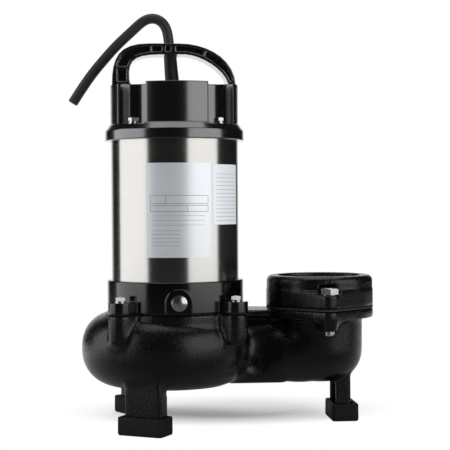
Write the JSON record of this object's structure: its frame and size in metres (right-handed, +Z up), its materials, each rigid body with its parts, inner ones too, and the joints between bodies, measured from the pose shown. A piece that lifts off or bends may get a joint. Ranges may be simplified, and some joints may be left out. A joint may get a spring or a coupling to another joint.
{
  "type": "submersible sump pump",
  "caption": "Submersible pump with a tubular stainless motor housing, moulded carrying handle, spiral cast casing, upturned threaded discharge flange and booted legs.",
  "frame": {"origin": "on the floor, under the middle of the object's length and width without its cord", "axes": "+Z up along the motor shaft, which is the longest extent; +X from the motor to the discharge"},
  "size_m": [0.3457, 0.2206, 0.4651],
  "materials": {
    "cast_black": "rough sand-cast iron under satin black paint",
    "gloss_black": "smooth gloss black",
    "stainless": "drawn stainless tube, satin",
    "bolt_steel": "bright machined stainless",
    "boot_rubber": "moulded rubber, matt",
    "cord_rubber": "cable rubber, satin",
    "gasket_rubber": "cut sheet rubber",
    "lamination": "stacked electrical steel",
    "copper": "varnished copper wire",
    "aluminium": "die-cast aluminium",
    "ceramic": "ground ceramic seal face",
    "carbon": "carbon seal face",
    "impeller_iron": "painted cast iron",
    "bronze": "pressed brass"
  },
  "bodies": {
    "pump_body": {"volute_casing": "cast_black", "suction_cover": "cast_black", "suction_cover_screws": "bolt_steel", "casing_gasket": "gasket_rubber", "foot_boot_front": "boot_rubber", "foot_boot_back": "boot_rubber", "foot_boot_outlet": "boot_rubber", "flange_gasket": "gasket_rubber", "discharge_flange": "cast_black", "flange_bolts": "bolt_steel", "oil_casing": "gloss_black", "casing_bolts": "bolt_steel", "casing_bolt_washers": "bolt_steel", "oil_plug": "bolt_steel", "oil_plug_washer": "gasket_rubber", "motor_shell": "stainless", "lower_o_ring": "gasket_rubber", "upper_o_ring": "gasket_rubber", "lower_bearing_bracket": "aluminium", "upper_bearing_bracket": "aluminium", "bearing_preload_spring": "bolt_steel", "stator_core": "lamination", "stator_windings": "copper", "run_capacitor": "aluminium", "thermal_protector": "carbon", "head_cover": "gloss_black", "cover_bolts": "bolt_steel", "cover_bolt_washers": "bolt_steel", "cable_clamp": "gloss_black", "cable_clamp_screws": "bolt_steel", "strain_relief": "cord_rubber", "power_cord": "cord_rubber", "lip_seal": "gasket_rubber", "lower_seal_seat": "ceramic", "upper_seal_seat": "ceramic", "lower_bearing_outer_ring": "bolt_steel", "upper_bearing_outer_ring": "bolt_steel"},
    "rotor": {"rotor_shaft": "bolt_steel", "rotor_core": "lamination", "rotor_end_rings": "aluminium", "lower_bearing_inner_ring": "bolt_steel", "upper_bearing_inner_ring": "bolt_steel", "bearing_circlip": "bolt_steel", "seal_rings": "carbon", "seal_spring": "bolt_steel", "impeller": "impeller_iron", "impeller_key": "bolt_steel", "impeller_washer": "bolt_steel", "impeller_nut": "bolt_steel"},
    "lower_ball_cage": {"lower_bearing_balls": "bolt_steel", "lower_bearing_cage": "bronze"},
    "upper_ball_cage": {"upper_bearing_balls": "bolt_steel", "upper_bearing_cage": "bronze"}
  },
  "joints": [
    {"name": "rotor_spin", "type": "hinge", "parent": "pump_body", "child": "rotor", "pos_m": [-0.06095, -0.0176, 0.2], "axis": [0, 0, -1], "continuous": true},
    {"name": "lower_cage_spin", "type": "hinge", "parent": "pump_body", "child": "lower_ball_cage", "pos_m": [-0.06095, -0.0176, 0.183], "axis": [0, 0, -1], "continuous": true},
    {"name": "upper_cage_spin", "type": "hinge", "parent": "pump_body", "child": "upper_ball_cage", "pos_m": [-0.06095, -0.0176, 0.309], "axis": [0, 0, -1], "continuous": true}
  ],
  "couplings": [
    {"joint": "lower_cage_spin", "follows": "rotor_spin", "ratio": 0.39552},
    {"joint": "upper_cage_spin", "follows": "rotor_spin", "ratio": 0.37719}
  ]
}
